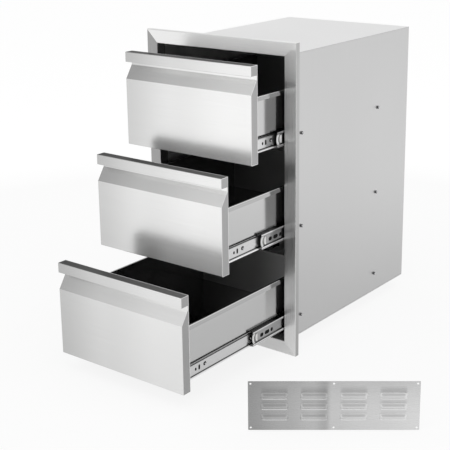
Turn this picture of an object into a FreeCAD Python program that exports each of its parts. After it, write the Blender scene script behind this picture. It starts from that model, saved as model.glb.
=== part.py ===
import FreeCAD, Part
import math
import os

# Built-in three-drawer unit in folded stainless sheet. Millimetres, +X right, +Y into the island, +Z up.
# The origin is the middle of the cut-out's lower edge: y = 0 is the wall face that the front frame seats on,
# and z = 0 is the underside of the housing. The drawers stand at their own openings.

# Housing and front frame
housing_width = 368.0
housing_height = 666.0
housing_depth = 532.0
housing_gauge = 1.0
housing_flange = 13.0
frame_lap = 29.0
frame_depth = 14.0
frame_gauge = 1.2
frame_seat_width = 12.0
frame_return = 12.0
frame_bend = 1.6
weld_gap = 2.0
side_fixing_radius = 2.5
side_fixing_depth = 20.0
side_fixing_pitch = 436.0

# Drawer fronts: a folded skin with a finger groove under a full-width lip
drawer_names = ["bottom", "centre", "top"]
drawer_openings = {"bottom": 354.5, "centre": 219.5, "top": 114.5}
front_side_gap = 4.3
front_edge_gap = 5.55
front_gap = 3.5
front_depth = 23.0
front_gauge = 1.0
front_bend = 1.4
lip_height = 23.0
groove_depth = 20.0
groove_wall = 8.5
groove_slope_height = 30.0
cap_gauge = 1.2
cap_inset = 0.4
cap_play = 0.05

# Drawer boxes
box_length = 470.0
box_floor_lift = 24.0
box_height = 122.0
box_gauge = 1.0
box_bend = 1.4
rim_reach = 6.0
rim_drop = 10.0
rim_slope = 1.5
wall_flange = 8.0
wall_hem = 6.0
wall_play = 0.1

# Telescopic slides. In a section, u runs from the housing wall to the drawer box and v is up.
slide_width = 12.7
slide_length = 450.0
slide_lift = 40.0
slide_setback = 14.0
outer_rail_height = 45.0
outer_rail_gauge = 1.2
outer_flange_reach = 8.2
outer_lip_rise = 2.5
outer_lip_run = 1.7
middle_rail_length = 400.0
middle_rail_gauge = 1.0
middle_rail_setback = 2.2
middle_shoulder = 5.5
middle_web_recess = 3.2
middle_web_drop = 2.0
middle_lip_length = 1.5
middle_lip_angle = 60.0
middle_corner_drop = 0.25
inner_rail_gauge = 1.0
inner_race_fall = 4.85
inner_race_run = 0.45
inner_lip_rise = 0.55
inner_lip_run = 0.7
inner_rail_start = 2.0
rail_bend = 1.0
ball_radius = 1.5
ball_row_step = 3.65
race_play = 0.15
ball_headroom = 0.3
outer_ball_inset = 6.7
inner_ball_inset = 2.8
middle_rail_ratio = 0.5
middle_rail_home = {"bottom": 46.0, "centre": 12.0, "top": 19.5}

# Ball cages
cage_length = 150.0
cage_gauge = 0.8
cage_side = 0.6
cage_lip = 0.9
cage_pocket_play = 0.1
cage_balls = 2
outer_cage_home = 152.0
inner_cage_home = 157.0

# Punched holes and windows of the rails, measured from each rail's front end
inner_hole_places = [23.0, 55.0]
inner_hole_radius = 2.3
inner_hole_sides = 12
inner_slot_place = 35.0
inner_slot_width = 3.6
inner_slot_height = 9.0
window_places = [36.0, 56.0, 74.0]
window_lengths = [12.0, 17.0, 9.0]
window_height = 9.0
window_drop = 1.5
slot_corner = 0.6

# Rail fasteners: screws from inside, nuts outside the housing
screw_places = [36.0, 370.0]
screw_radius = 2.0
screw_head_radius = 3.6
screw_head_height = 1.5
screw_end = 3.0
screw_hole_play = 0.2
screw_sides = 8
nut_flats = 7.0
nut_height = 3.2
nut_play = 0.05

# Plastic end pieces at the front of the middle rails, and stops behind the outer rails
end_nose_rise = 6.0
end_nose_half = 11.5
end_nose_start = 2.0
end_notch_depth = 12.0
end_notch_play = 0.2
end_piece_depth = 1.8
end_rim_width = 2.0
end_rim_height = 2.3
end_pad_half = 9.0
end_pad_gauge = 1.0
end_pad_overlap = 3.0
end_pad_length = 8.0
end_bar_place = 2.5
end_bar_width = 3.0
end_bar_height = 2.0
end_tongue_half = 9.0
end_tongue_length = 12.0
stop_plug = 2.0
stop_cap = 4.0
stop_play = 0.1
stop_inner_reach = 10.5

# Louvred vent plate, standing apart on the level of the frame's lower edge
vent_width = 340.0
vent_height = 106.0
vent_gauge = 1.0
vent_corner = 1.5
vent_hole_radius = 2.2
vent_hole_inset = 5.2
vent_origin_x = 329.0
vent_origin_y = -349.0
vent_angle = 36.6
louvre_columns = 4
louvre_rows = 3
louvre_pitch_x = 78.4
louvre_pitch_z = 22.7
louvre_length = 54.0
louvre_height = 11.7
louvre_reach = 4.6

# Derived places
half_inside = housing_width / 2 - housing_gauge
half_opening = half_inside - frame_gauge
face_width = frame_lap + housing_gauge + frame_gauge
frame_low = -frame_lap
frame_high = housing_height + frame_lap
frame_half = housing_width / 2 + frame_lap
opening_low = frame_low + face_width
opening_high = frame_high - face_width
front_width = 2 * (half_opening - front_side_gap)
front_stack = opening_high - opening_low - 2 * front_edge_gap
front_pitch = (front_stack + front_gap) / len(drawer_names)
front_height = front_pitch - front_gap
first_front = opening_low + front_edge_gap
box_half = half_inside - slide_width
housing_front = frame_gauge - frame_depth
slide_start = slide_setback
inner_start = front_depth + inner_rail_start
middle_web = middle_rail_setback + middle_web_recess
steep_fold = math.radians(75)
outer_ball = (outer_ball_inset, outer_rail_height / 2 - outer_rail_gauge - ball_headroom - ball_radius)
inner_ball = (slide_width - inner_ball_inset, outer_ball[1] - ball_row_step)


def vec(x, y, z):
    return FreeCAD.Vector(x, y, z)


def box(x0, x1, y0, y1, z0, z1):
    """A block between two opposite corners, given in any order."""
    low = vec(min(x0, x1), min(y0, y1), min(z0, z1))
    return Part.makeBox(abs(x1 - x0), abs(y1 - y0), abs(z1 - z0), low)


def unit(a, b):
    """Direction and length from point a to point b in a section."""
    du, dv = b[0] - a[0], b[1] - a[1]
    length = math.hypot(du, dv)
    return du / length, dv / length, length


def parallel_path(path, distance):
    """The path moved to its left by a distance, with mitred corners."""
    normals = []
    for a, b in zip(path, path[1:]):
        du, dv, _ = unit(a, b)
        normals.append((-dv, du))
    moved = []
    for i, (u, v) in enumerate(path):
        before = normals[max(i - 1, 0)]
        after = normals[min(i, len(normals) - 1)]
        scale = distance / (1.0 + before[0] * after[0] + before[1] * after[1])
        moved.append((u + (before[0] + after[0]) * scale, v + (before[1] + after[1]) * scale))
    return moved


def turn(a, b, c):
    """The angle by which a path that runs a, b, c turns left at b."""
    first, then = unit(a, b), unit(b, c)
    return math.atan2(first[0] * then[1] - first[1] * then[0], first[0] * then[0] + first[1] * then[1])


def corner_edges(corners, at):
    """Edges of a closed outline, given as (point, radius), each corner rounded by a tangent arc."""
    count = len(corners)
    joints = []
    for i, (p, radius) in enumerate(corners):
        back_u, back_v, back = unit(p, corners[i - 1][0])
        on_u, on_v, on = unit(p, corners[(i + 1) % count][0])
        half_turn = math.acos(max(-1.0, min(1.0, -(back_u * on_u + back_v * on_v)))) / 2
        run = radius * math.tan(half_turn)
        if run < 1e-6:
            joints.append((p, None, p))
            continue
        run = min(run, 0.45 * back, 0.45 * on)
        start = (p[0] + back_u * run, p[1] + back_v * run)
        end = (p[0] + on_u * run, p[1] + on_v * run)
        mid_u, mid_v = back_u + on_u, back_v + on_v
        size = math.hypot(mid_u, mid_v)
        rise = run / math.tan(half_turn) * (1 / math.cos(half_turn) - 1)
        middle = (p[0] + mid_u / size * rise, p[1] + mid_v / size * rise)
        joints.append((start, middle, end))
    edges = []
    for i, (start, middle, end) in enumerate(joints):
        if middle:
            edges.append(Part.Arc(at(*start), at(*middle), at(*end)).toShape())
        nearest = joints[(i + 1) % count][0]
        if math.hypot(nearest[0] - end[0], nearest[1] - end[1]) > 1e-6:
            edges.append(Part.LineSegment(at(*end), at(*nearest)).toShape())
    return edges


def outline(corners, at):
    """A face from a closed outline of (point, radius) corners."""
    return Part.Face(Part.Wire(corner_edges(corners, at)))


def folded_section(path, gauge, bend, at):
    """The section of a folded sheet: the path is its right-hand side, and steep folds are round outside."""
    near, far = [], []
    for i, (p, q) in enumerate(zip(path, parallel_path(path, gauge))):
        angle = turn(path[i - 1], p, path[i + 1]) if 0 < i < len(path) - 1 else 0.0
        near.append((p, bend if angle > steep_fold else 0.0))
        far.append((q, bend if angle < -steep_fold else 0.0))
    return outline(near + far[::-1], at)


def mirrored(half):
    """A whole path from its upper half, which ends at the web."""
    return half + [(u, -v) for u, v in reversed(half)]


def drill_x(shape, side, y, z, radius):
    """A round hole along X through the metal on one side of the unit."""
    reach = housing_width
    return shape.cut(Part.makeCylinder(radius, reach, vec(0, y, z), vec(side, 0, 0)))


def prism_x(side, x, y, z, radius, length, sides):
    """A regular prism that runs outwards along X from the point given. The radius is that of its flats."""
    corner = radius / math.cos(math.pi / sides)
    points = []
    for i in range(sides):
        angle = 2 * math.pi * (i + 0.5) / sides
        points.append(vec(x, y + corner * math.cos(angle), z + corner * math.sin(angle)))
    return Part.Face(Part.makePolygon(points + points[:1])).extrude(vec(side * length, 0, 0))


def punch_x(shape, side, y, z, radius, sides):
    """A many-sided hole along X, for what a screw, a nut or a rail covers."""
    return shape.cut(prism_x(side, 0, y, z, radius, housing_width, sides))


def front_low(name):
    return first_front + drawer_names.index(name) * front_pitch


def front_face(name):
    return -frame_depth - drawer_openings[name]


def slide_height_at(name):
    return front_low(name) + slide_lift


# Front frame


def frame_section(at):
    """A frame bar's section: seat flange, outer edge, face and the return that lines the opening."""
    path = [
        (frame_seat_width, 0.0),
        (0.0, 0.0),
        (0.0, -frame_depth),
        (face_width, -frame_depth),
        (face_width, frame_return),
    ]
    return folded_section(path, frame_gauge, frame_bend, at)


def frame_bar(horizontal, end):
    """One bar of the front frame, mitred at both ends. end is +1 for the top or right bar."""
    middle = (frame_high + frame_low) / 2
    long_half = frame_half if horizontal else (frame_high - frame_low) / 2
    outer = end * ((frame_high - frame_low) / 2 if horizontal else frame_half)
    inner = outer - end * (face_width + frame_gauge)
    shift = face_width + frame_gauge

    def place(along, across, y):
        if horizontal:
            return vec(along, y, middle + across)
        return vec(across, y, middle + along)

    section = frame_section(lambda a, y: place(-long_half, outer - end * a, y))
    bar = section.extrude(place(long_half, 0, 0) - place(-long_half, 0, 0))
    mitre = [(-long_half, outer), (long_half, outer), (long_half - shift, inner), (shift - long_half, inner)]
    points = [place(along, across, -frame_depth) for along, across in mitre]
    wedge = Part.Face(Part.makePolygon(points + points[:1])).extrude(vec(0, frame_depth + frame_return, 0))
    return bar.common(wedge)


# Housing


def housing_side(side):
    """A side panel with flanges at its top, bottom and rear, its slide holes and its fixing holes."""
    low, high = housing_gauge, housing_height - housing_gauge
    rear = housing_depth - housing_gauge
    outer = housing_width / 2
    flange_start = frame_return + weld_gap
    path = [
        (outer - housing_flange, high),
        (outer, high),
        (outer, low),
        (outer - housing_flange, low),
    ]
    section = folded_section(
        path[::-1], housing_gauge, frame_bend, lambda x, z: vec(side * x, flange_start, z)
    )
    panel = section.extrude(vec(0, rear - flange_start, 0))
    panel = panel.fuse(box(side * half_inside, side * outer, housing_front, flange_start, low, high))
    lift = housing_gauge + weld_gap
    flange_edge = side * (outer - housing_flange)
    rear_flange = box(flange_edge, side * half_inside, rear - housing_gauge, rear, low + lift, high - lift)
    panel = panel.fuse(rear_flange).removeSplitter()
    for name in drawer_names:
        for place in screw_places:
            hole = screw_radius + screw_hole_play
            panel = punch_x(panel, side, slide_start + place, slide_height_at(name), hole, screw_sides)
    for z in side_fixing_heights():
        panel = drill_x(panel, side, side_fixing_depth, z, side_fixing_radius)
    return panel


def side_fixing_heights():
    middle = slide_height_at("centre") + front_pitch / 2
    return [middle - side_fixing_pitch / 2, middle + side_fixing_pitch / 2]


def housing_sheet(z0, z1, y0, y1):
    return box(-housing_width / 2, housing_width / 2, y0, y1, z0, z1)


# Drawer fronts


def front_path():
    """The skin's outside, from the top edge of the lip down to the bottom flange, in depth and height."""
    back = front_depth - front_gauge
    lip_low = front_height - lip_height
    slope_high = lip_low - groove_wall
    slope_low = slope_high - groove_slope_height
    return [
        (back, front_height),
        (0.0, front_height),
        (0.0, lip_low),
        (groove_depth, lip_low),
        (groove_depth, slope_high),
        (0.0, slope_low),
        (0.0, 0.0),
        (back, 0.0),
    ]


def front_skin(name):
    face, low, half = front_face(name), front_low(name), front_width / 2
    path = front_path()
    section = folded_section(path, front_gauge, front_bend, lambda d, h: vec(-half, face + d, low + h))
    return section.extrude(vec(front_width, 0, 0))


def front_end_caps(name):
    """Plates that close both ends of the hollow front, set just inside the skin's edges."""
    face, low = front_face(name), front_low(name)
    inside = parallel_path(front_path(), front_gauge + cap_play)
    caps = []
    for side in (-1, 1):
        outer = side * (front_width / 2 - cap_inset)
        plate = outline([(p, 0.0) for p in inside], lambda d, h: vec(outer, face + d, low + h))
        caps.append(plate.extrude(vec(-side * cap_gauge, 0, 0)))
    return Part.Compound(caps)


def front_liner(name):
    back = front_face(name) + front_depth
    low = front_low(name)
    half = front_width / 2
    return box(-half, half, back - front_gauge, back, low, low + front_height)


# Drawer boxes


def box_tray(name):
    """Floor and sides in one folded sheet, with rims turned out and down along both sides."""
    start = front_face(name) + front_depth
    low = front_low(name)
    floor = box_floor_lift + box_gauge
    top = box_floor_lift + box_height
    inside = box_half - box_gauge
    rim = box_half + rim_reach
    right = [(rim, top - rim_drop), (rim - rim_slope, top), (inside, top), (inside, floor)]
    path = right + [(-x, h) for x, h in reversed(right)]
    section = folded_section(path, box_gauge, box_bend, lambda x, h: vec(x, start, low + h))
    return section.extrude(vec(0, box_length, 0))


def box_wall(name, rear):
    """A front or rear wall of the box: a sheet between the sides, with its top edge turned in and down."""
    start = front_face(name) + front_depth
    outside = start + box_length if rear else start
    inward = -1 if rear else 1
    low = front_low(name)
    half = box_half - box_gauge - wall_play
    top = box_floor_lift + box_height
    path = [
        (wall_flange, top - wall_hem),
        (wall_flange, top),
        (0.0, top),
        (0.0, box_floor_lift + box_gauge),
    ]
    section = folded_section(
        path, box_gauge, box_bend, lambda d, h: vec(-half, outside + inward * d, low + h)
    )
    return section.extrude(vec(2 * half, 0, 0))


# Slide rails


def outer_rail_path():
    half = outer_rail_height / 2
    return mirrored(
        [
            (outer_flange_reach + outer_lip_run, half - outer_lip_rise),
            (outer_flange_reach, half),
            (0.0, half),
        ]
    )


def middle_rail_path():
    """The S-shaped flange runs under the outer ball row and over the inner one, a race's play from each."""
    near = ball_radius + race_play
    far = near + middle_rail_gauge
    du, dv = outer_ball[0] - inner_ball[0], outer_ball[1] - inner_ball[1]
    climb = math.asin((near + far) / math.hypot(du, dv)) - math.atan2(dv, -du)
    level = math.cos(climb) * outer_ball[1] - math.sin(climb) * outer_ball[0] - near
    corner_v = outer_ball[1] - near - middle_corner_drop
    groove = ((math.cos(climb) * corner_v - level) / math.sin(climb), corner_v)
    fall = math.radians(middle_lip_angle)
    reach = math.sin(fall) * inner_ball[0] + math.cos(fall) * inner_ball[1] + far
    turn = math.sin(climb + fall)
    crown = (
        (math.cos(climb) * reach - math.cos(fall) * level) / turn,
        (math.sin(climb) * reach + math.sin(fall) * level) / turn,
    )
    lip = (crown[0] + middle_lip_length * math.cos(fall), crown[1] - middle_lip_length * math.sin(fall))
    shoulder = (middle_rail_setback, corner_v - middle_shoulder)
    web = (middle_web, shoulder[1] - middle_web_drop)
    return mirrored([lip, crown, groove, (middle_rail_setback, corner_v), shoulder, web])


def inner_rail_path():
    """Each flange leaves the web on a line that passes the inner ball row at a race's play, then turns up."""
    near = ball_radius + race_play
    web_v = inner_ball[1] - inner_race_fall
    to_u, to_v, distance = unit((slide_width, web_v), inner_ball)
    slope = math.atan2(to_v, to_u) + math.asin(near / distance)
    run = math.sqrt(distance ** 2 - near ** 2) + inner_race_run
    fold = (slide_width + run * math.cos(slope), web_v + run * math.sin(slope))
    lip = (fold[0] - inner_lip_run, inner_ball[1] + inner_lip_rise)
    return mirrored([lip, fold, (slide_width, web_v)])[::-1]


def rail(name, side, path, gauge, start, length):
    """A rail of one section along Y, on the left or right wall."""
    z = slide_height_at(name)
    section = folded_section(path, gauge, rail_bend, lambda u, v: vec(side * (half_inside - u), start, z + v))
    return section.extrude(vec(0, length, 0))


def slot_x(side, y, z, length, height):
    """A cutter along X for a punched slot, its four corners cut off."""
    a, b = length / 2, height / 2
    cut = slot_corner * min(a, b)
    points = []
    for u, v in ((1, 1), (-1, 1), (-1, -1), (1, -1)):
        ends = [(u * a, v * (b - cut)), (u * (a - cut), v * b)]
        points += ends if u * v > 0 else ends[::-1]
    corners = [vec(0, y + dy, z + dz) for dy, dz in points]
    return Part.Face(Part.makePolygon(corners + corners[:1])).extrude(vec(side * housing_width / 2, 0, 0))


def middle_rail_start(name):
    return middle_rail_home[name] - middle_rail_ratio * drawer_openings[name]


def outer_rail(name, side):
    body = rail(name, side, outer_rail_path(), outer_rail_gauge, slide_start, slide_length)
    for place in screw_places:
        hole = screw_radius + screw_hole_play
        body = punch_x(body, side, slide_start + place, slide_height_at(name), hole, screw_sides)
    return body


def middle_rail(name, side):
    start = middle_rail_start(name)
    z = slide_height_at(name)
    body = rail(name, side, middle_rail_path(), middle_rail_gauge, start, middle_rail_length)
    notch = end_nose_half + end_notch_play
    behind = side * (half_inside - middle_web - 2 * middle_rail_gauge)
    notch_end = start + end_notch_depth
    body = body.cut(box(behind, side * half_inside, start, notch_end, z - notch, z + notch))
    for place, length in zip(window_places, window_lengths):
        body = body.cut(slot_x(side, start + place, z - window_drop, length, window_height))
    return body


def inner_rail(name, side):
    start = front_face(name) + inner_start
    z = slide_height_at(name)
    body = rail(name, side, inner_rail_path(), inner_rail_gauge, start, slide_length)
    for place in inner_hole_places:
        body = punch_x(body, side, start + place, z, inner_hole_radius, inner_hole_sides)
    body = body.cut(slot_x(side, start + inner_slot_place, z, inner_slot_width, inner_slot_height))
    return body


# Rail fasteners, end pieces and stops


def every_rail_screw():
    """Side, y and z of each screw that holds an outer rail."""
    places = []
    for name in drawer_names:
        for side in (-1, 1):
            for place in screw_places:
                places.append((side, slide_start + place, slide_height_at(name)))
    return places


def rail_screw(side, y, z):
    head_face = half_inside - outer_rail_gauge
    head = prism_x(-side, side * head_face, y, z, screw_head_radius, screw_head_height, screw_sides)
    shank_length = outer_rail_gauge + housing_gauge + nut_height + screw_end
    return head.fuse(prism_x(side, side * head_face, y, z, screw_radius, shank_length, screw_sides))


def rail_nut(side, y, z):
    nut = prism_x(side, side * housing_width / 2, y, z, nut_flats / 2, nut_height, 6)
    return punch_x(nut, side, y, z, screw_radius + nut_play, screw_sides)


def nose_outline(x, start, back, z):
    """The rounded front of an end piece, as a face across X."""
    shoulder = start + end_nose_rise
    low, high = z - end_nose_half, z + end_nose_half
    arc = Part.Arc(vec(x, shoulder, low), vec(x, start, z), vec(x, shoulder, high))
    corners = [vec(x, shoulder, high), vec(x, back, high), vec(x, back, low), vec(x, shoulder, low)]
    return Part.Face(Part.Wire([arc.toShape()] + Part.makePolygon(corners).Edges))


def end_piece(name, side):
    """The white nose in the notched front of a middle rail: a rimmed plate, clipped over the web."""
    start = middle_rail_start(name) + end_nose_start
    back = middle_rail_start(name) + end_notch_depth - end_notch_play
    z = slide_height_at(name)
    web = half_inside - middle_web
    outward = vec(side, 0, 0)
    piece = nose_outline(side * (web - end_piece_depth), start, back, z).extrude(outward * end_piece_depth)
    rim = nose_outline(side * web, start, back, z).extrude(outward * end_rim_height)
    piece = piece.fuse(rim.cut(rim.translated(vec(0, end_rim_width, 0))))
    pad_start = back - end_pad_overlap
    bar_start = back + end_bar_place
    tongue = box(
        side * (web - end_piece_depth), side * (web - middle_rail_gauge), back, back + end_tongue_length,
        z - end_tongue_half, z + end_tongue_half,
    )
    pad = box(
        side * web, side * (web + end_pad_gauge), pad_start, back + end_pad_length,
        z - end_pad_half, z + end_pad_half,
    )
    bar = box(
        side * web, side * (web + end_bar_height), bar_start, bar_start + end_bar_width,
        z - end_pad_half, z + end_pad_half,
    )
    return piece.fuse([tongue, pad, bar]).removeSplitter()


def rear_stop(name, side):
    """A buffer plugged into the rear end of an outer rail."""
    rear = slide_start + slide_length
    z = slide_height_at(name)
    half = outer_rail_height / 2
    reach = half - outer_rail_gauge - stop_play
    near = half_inside - outer_rail_gauge - stop_play
    far = half_inside - stop_inner_reach
    plug_far = half_inside - outer_flange_reach + outer_rail_gauge + stop_play
    plug = box(side * near, side * plug_far, rear - stop_plug, rear, z - reach, z + reach)
    cap = box(side * half_inside, side * far, rear, rear + stop_cap, z - half, z + half)
    return plug.fuse(cap)


# Ball cages


def steel_ball(centre):
    """A ball with twelve flats, the overlap of three crossed square bars that are turned by an eighth."""
    half = ball_radius / math.sqrt(2)
    bars = []
    for axis in (vec(1, 0, 0), vec(0, 1, 0), vec(0, 0, 1)):
        reach = vec(half, half, half) + axis * ball_radius
        bar = Part.makeBox(2 * reach.x, 2 * reach.y, 2 * reach.z, -reach)
        bar.rotate(vec(0, 0, 0), axis, 45)
        bars.append(bar)
    ball = bars[0].common(bars[1]).common(bars[2])
    ball.translate(centre)
    return ball


def cage_row(name, side, row, open_way, start, up):
    """A pocketed strip with its balls, along the upper or lower race, its pockets open towards the lip."""
    u, v = row
    z = slide_height_at(name) + up * v
    x = side * (half_inside - u)
    pocket = ball_radius + cage_pocket_play
    back = x + side * open_way * (pocket + cage_side)
    front = x - side * open_way * cage_lip
    half = cage_gauge / 2
    strip = box(front, back, start, start + cage_length, z - half, z + half)
    pieces = []
    for i in range(cage_balls):
        y = start + cage_length * (i + 0.5) / cage_balls
        strip = strip.cut(box(x - pocket, x + pocket, y - pocket, y + pocket, z - half, z + half))
        pieces.append(steel_ball(vec(x, y, z)))
    return [strip] + pieces


def ball_cages(name, row, open_way, home, ratio):
    """Both slides' cages of one ball row, upper and lower strips. open_way is +1 towards the box."""
    start = home - ratio * drawer_openings[name]
    solids = []
    for side in (-1, 1):
        for up in (-1, 1):
            solids += cage_row(name, side, row, open_way, start, up)
    return Part.Compound(solids)


# Vent plate


def louvre_form(reach, rise, half_length, back):
    """A hood about the louvre's middle: a sloping face, two facets at each end, and a tail behind."""
    straight = half_length - reach
    side = reach * math.sqrt(0.5)
    right = [(half_length, 0.0), (straight + side, -side), (straight, -reach)]
    rim = [vec(x, y, -louvre_height / 2) for x, y in right + [(-x, y) for x, y in right[::-1]]]
    ridge = [vec(straight, 0, rise), vec(-straight, 0, rise)]
    footprint = [rim[0], rim[5], ridge[1], ridge[0]]
    outlines = [rim, footprint, [rim[2], rim[3], ridge[1], ridge[0]]]
    for i, top in ((0, 0), (1, 0), (3, 1), (4, 1)):
        outlines.append([rim[i], rim[i + 1], ridge[top]])
    faces = [Part.Face(Part.makePolygon(points + points[:1])) for points in outlines]
    skin = Part.Compound(faces)
    skin.sewShape()
    return Part.Solid(skin.Shells[0]).fuse(faces[1].extrude(vec(0, back, 0)))


def louvre_places():
    """The middle of each louvre on the plate."""
    places = []
    for column in range(louvre_columns):
        for row in range(louvre_rows):
            x = vent_width / 2 + (column - (louvre_columns - 1) / 2) * louvre_pitch_x
            z = vent_height / 2 + (row - (louvre_rows - 1) / 2) * louvre_pitch_z
            places.append(vec(x, 0, z))
    return places


def vent_panel():
    """A plate with pressed louvres and six holes, built flat against XZ and then stood in place."""
    plate = box(0, vent_width, 0, vent_gauge, 0, vent_height)
    upright = [e for e in plate.Edges if e.BoundBox.YLength > vent_gauge / 2]
    plate = plate.makeFillet(vent_corner, upright)
    rise, half = louvre_height / 2, louvre_length / 2
    hood = louvre_form(louvre_reach, rise, half, vent_gauge)
    hollow = louvre_form(louvre_reach - vent_gauge, rise - vent_gauge, half - vent_gauge, 2 * vent_gauge)
    plate = plate.fuse([hood.translated(place) for place in louvre_places()])
    plate = plate.cut([hollow.translated(place) for place in louvre_places()])
    for x in (vent_hole_inset, vent_width / 2, vent_width - vent_hole_inset):
        for z in (vent_hole_inset, vent_height - vent_hole_inset):
            plate = plate.cut(Part.makeCylinder(vent_hole_radius, vent_gauge, vec(x, 0, z), vec(0, 1, 0)))
    plate = plate.removeSplitter()
    plate.rotate(vec(0, 0, 0), vec(0, 0, 1), vent_angle)
    plate.translate(vec(vent_origin_x, vent_origin_y, frame_low))
    return plate


def cabinet_nodes():
    rear = housing_depth
    top = housing_height - housing_gauge
    rails = [(name, side) for name in drawer_names for side in (-1, 1)]
    return {
        "frame_top_rail": frame_bar(True, 1),
        "frame_bottom_rail": frame_bar(True, -1),
        "frame_left_stile": frame_bar(False, -1),
        "frame_right_stile": frame_bar(False, 1),
        "housing_left_side": housing_side(-1),
        "housing_right_side": housing_side(1),
        "housing_top": housing_sheet(top, housing_height, housing_front, rear),
        "housing_bottom": housing_sheet(0, housing_gauge, housing_front, rear),
        "housing_back": housing_sheet(housing_gauge, top, rear - housing_gauge, rear),
        "rail_screws": Part.Compound([rail_screw(*place) for place in every_rail_screw()]),
        "rail_nuts": Part.Compound([rail_nut(*place) for place in every_rail_screw()]),
        "rail_rear_stops": Part.Compound([rear_stop(*place) for place in rails]),
        "vent_panel": vent_panel(),
    }


def drawer_nodes(name):
    outer_ratio = middle_rail_ratio / 2
    inner_ratio = (1 + middle_rail_ratio) / 2
    nodes = {
        name + "_front_skin": front_skin(name),
        name + "_front_end_caps": front_end_caps(name),
        name + "_front_liner": front_liner(name),
        name + "_box_tray": box_tray(name),
        name + "_box_front_wall": box_wall(name, False),
        name + "_box_back_wall": box_wall(name, True),
        name + "_rail_end_pieces": Part.Compound([end_piece(name, side) for side in (-1, 1)]),
        name + "_outer_ball_cages": ball_cages(name, outer_ball, 1, outer_cage_home, outer_ratio),
        name + "_inner_ball_cages": ball_cages(name, inner_ball, -1, inner_cage_home, inner_ratio),
    }
    for side, word in ((-1, "left"), (1, "right")):
        nodes[name + "_" + word + "_outer_rail"] = outer_rail(name, side)
        nodes[name + "_" + word + "_middle_rail"] = middle_rail(name, side)
        nodes[name + "_" + word + "_inner_rail"] = inner_rail(name, side)
    return nodes


def main():
    os.makedirs("parts", exist_ok=True)
    nodes = cabinet_nodes()
    for name in drawer_names:
        nodes.update(drawer_nodes(name))
    for node, shape in nodes.items():
        shape.exportStep(os.path.join("parts", node + ".step"))
        print(node, len(shape.Solids), shape.isValid(), round(shape.Volume, 1))
    print(len(nodes), "nodes")


main()
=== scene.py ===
import bmesh
import bpy
import math
import numpy as np
from mathutils import Matrix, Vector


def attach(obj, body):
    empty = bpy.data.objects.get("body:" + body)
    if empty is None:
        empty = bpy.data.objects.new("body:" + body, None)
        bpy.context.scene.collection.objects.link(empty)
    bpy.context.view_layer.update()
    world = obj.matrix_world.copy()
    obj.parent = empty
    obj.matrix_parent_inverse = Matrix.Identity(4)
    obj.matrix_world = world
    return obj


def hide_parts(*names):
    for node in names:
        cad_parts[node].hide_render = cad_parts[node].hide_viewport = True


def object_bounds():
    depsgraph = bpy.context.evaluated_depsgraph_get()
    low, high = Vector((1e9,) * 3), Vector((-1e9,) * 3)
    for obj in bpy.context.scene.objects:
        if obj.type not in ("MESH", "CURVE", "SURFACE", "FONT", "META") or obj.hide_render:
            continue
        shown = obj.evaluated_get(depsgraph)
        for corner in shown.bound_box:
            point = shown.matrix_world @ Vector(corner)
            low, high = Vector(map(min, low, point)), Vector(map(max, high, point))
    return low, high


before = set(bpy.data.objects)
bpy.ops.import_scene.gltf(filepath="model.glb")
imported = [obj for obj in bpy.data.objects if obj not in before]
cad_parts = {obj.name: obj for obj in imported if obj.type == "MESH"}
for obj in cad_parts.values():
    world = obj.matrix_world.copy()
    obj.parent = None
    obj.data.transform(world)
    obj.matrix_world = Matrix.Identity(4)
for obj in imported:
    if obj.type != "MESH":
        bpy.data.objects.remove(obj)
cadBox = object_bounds()

drawers = ["bottom", "centre", "top"]
sides = [-1, 1]  # left and right of the unit


# Camera and studio

cameraSetup = {
    "place": (1.4969, -1.8922, 1.0363),
    "turn": 0.6679,  # radians to the left of +Y
    "tilt": 0.2657,  # radians down
    "roll": -0.0145,
    "focalPixels": 1074.7,
    "imagePixels": 450,
    "axisRow": 170,  # image row of the lens axis
    "sensor": 36.0,
}


def makeCamera(setup):
    turn, tilt, roll = setup["turn"], setup["tilt"], setup["roll"]
    ahead = np.array([-math.sin(turn) * math.cos(tilt), math.cos(turn) * math.cos(tilt), -math.sin(tilt)])
    level = np.array([math.cos(turn), math.sin(turn), 0.0])
    above = np.cross(level, ahead)
    right = math.cos(roll) * level + math.sin(roll) * above
    up = math.cos(roll) * above - math.sin(roll) * level
    data = bpy.data.cameras.new("camera")
    data.sensor_width = setup["sensor"]
    data.lens = setup["focalPixels"] / setup["imagePixels"] * setup["sensor"]
    data.shift_y = (setup["axisRow"] - setup["imagePixels"] / 2) / setup["imagePixels"]
    data.clip_start, data.clip_end = 0.05, 100.0
    camera = bpy.data.objects.new("camera", data)
    rows = [(right[i], up[i], -ahead[i], setup["place"][i]) for i in range(3)]
    camera.matrix_world = Matrix(rows + [(0, 0, 0, 1)])
    bpy.context.scene.collection.objects.link(camera)
    bpy.context.scene.camera = camera


studio = {
    "floorDrop": 0.0005,
    "floorHalf": 30.0,
    "floorColour": (0.94, 0.94, 0.94),
    "cameraGlow": 0.86,  # share of plain white that the camera sees on the floor, the rest being lit paper
    "glossGlow": 0.75,  # the same share as the metal sees it
    "glossNear": 0.75,  # what the metal sees of the floor by the object and far from it, as a share of white: painted shade near the object
    "glossFar": 1.05,
    "glossReach": (0.25, 1.9),
    "duller": 0.04,  # the part of the floor toward the lens, seen in the metal, painted duller: painted shade
    "dullerWay": (0.62, -0.785, 0.0),
    "dullerSpread": (0.78, 0.93),  # cosines from that way, where it starts and is full
    "dullerReach": (0.65, 1.05),
    "skirting": 0.74,  # a greyer line just above the floor, as a share of the bright band
    "skirtingTop": 0.12,
    "horizon": 0.98,
    "middle": 0.58,
    "overhead": 0.55,
    "bandLow": 0.22,  # heights, as shares of straight up, where the bright band ends
    "bandHigh": 0.58,
}

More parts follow.
